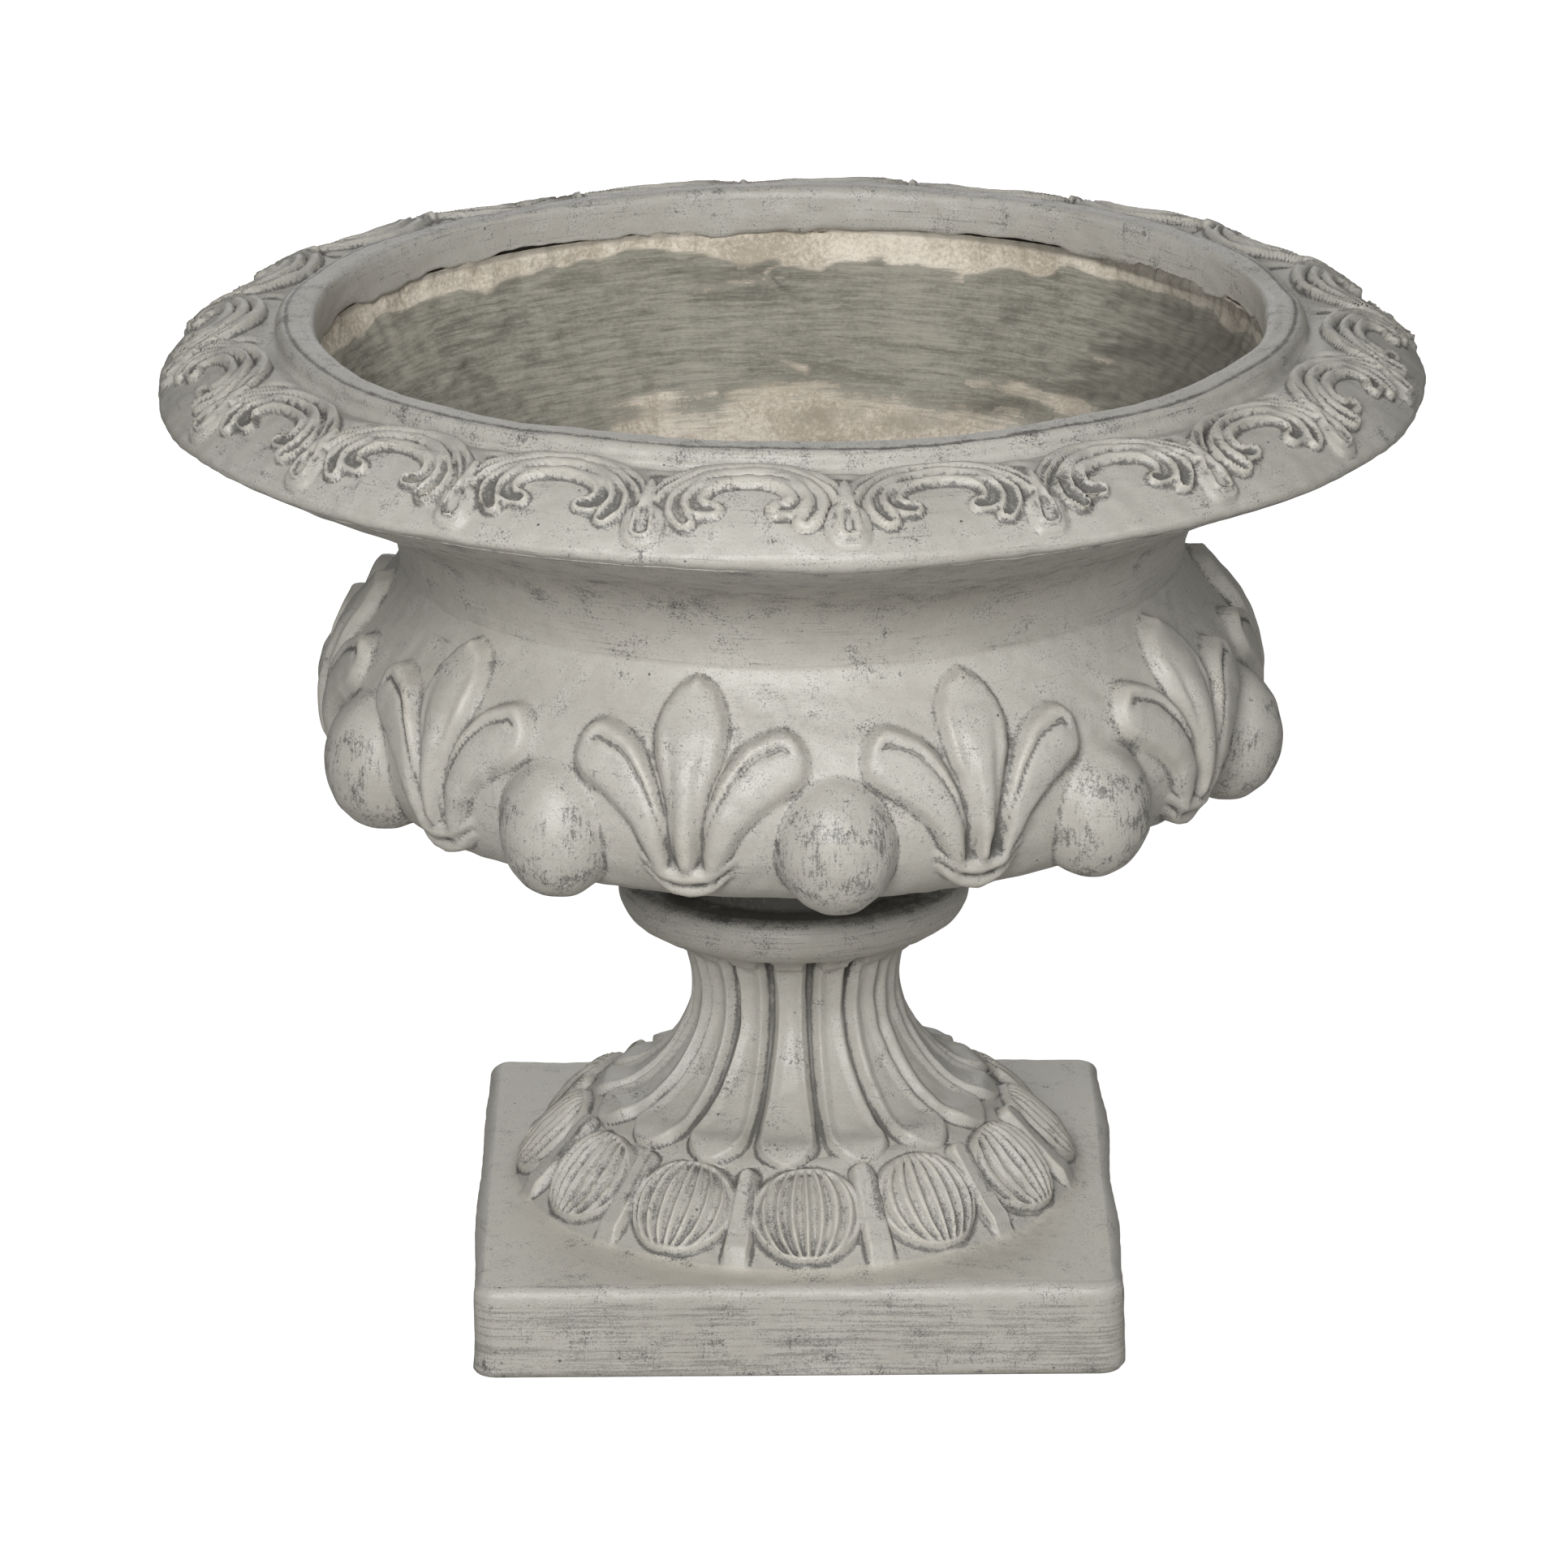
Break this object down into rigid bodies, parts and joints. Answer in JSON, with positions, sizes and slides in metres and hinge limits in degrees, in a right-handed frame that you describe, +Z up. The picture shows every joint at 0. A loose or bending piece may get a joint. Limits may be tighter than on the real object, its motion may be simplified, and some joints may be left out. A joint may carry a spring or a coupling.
{
  "type": "pedestal flower pot",
  "caption": "Wide cast stone bowl with a carved rim and a belly of palmettes and berries, set on a fluted pedestal with a square plinth, for planting.",
  "frame": {"origin": "on the floor, at the centre of the plinth's underside, below the bowl's axis", "axes": "+Z up along the bowl's axis, -Y towards the front of the picture, +X to its right"},
  "size_m": [0.6749, 0.675, 0.542],
  "materials": {
    "cast_stone": "weathered matte",
    "backing": "rough, hand laid",
    "plug_rubber": "matte"
  },
  "bodies": {
    "pedestal": {"pedestal": "cast_stone", "pedestal_backing": "backing"},
    "bowl": {"bowl": "cast_stone", "bowl_backing": "backing"},
    "drain_plug": {"drain_plug": "plug_rubber"}
  },
  "joints": [
    {"name": "bowl_lift", "type": "slide", "parent": "pedestal", "child": "bowl", "axis": [0, 0, 1], "range_m": [0, 0.12]},
    {"name": "plug_pull", "type": "slide", "parent": "bowl", "child": "drain_plug", "axis": [0, 0, 1], "range_m": [0, 0.06]}
  ]
}
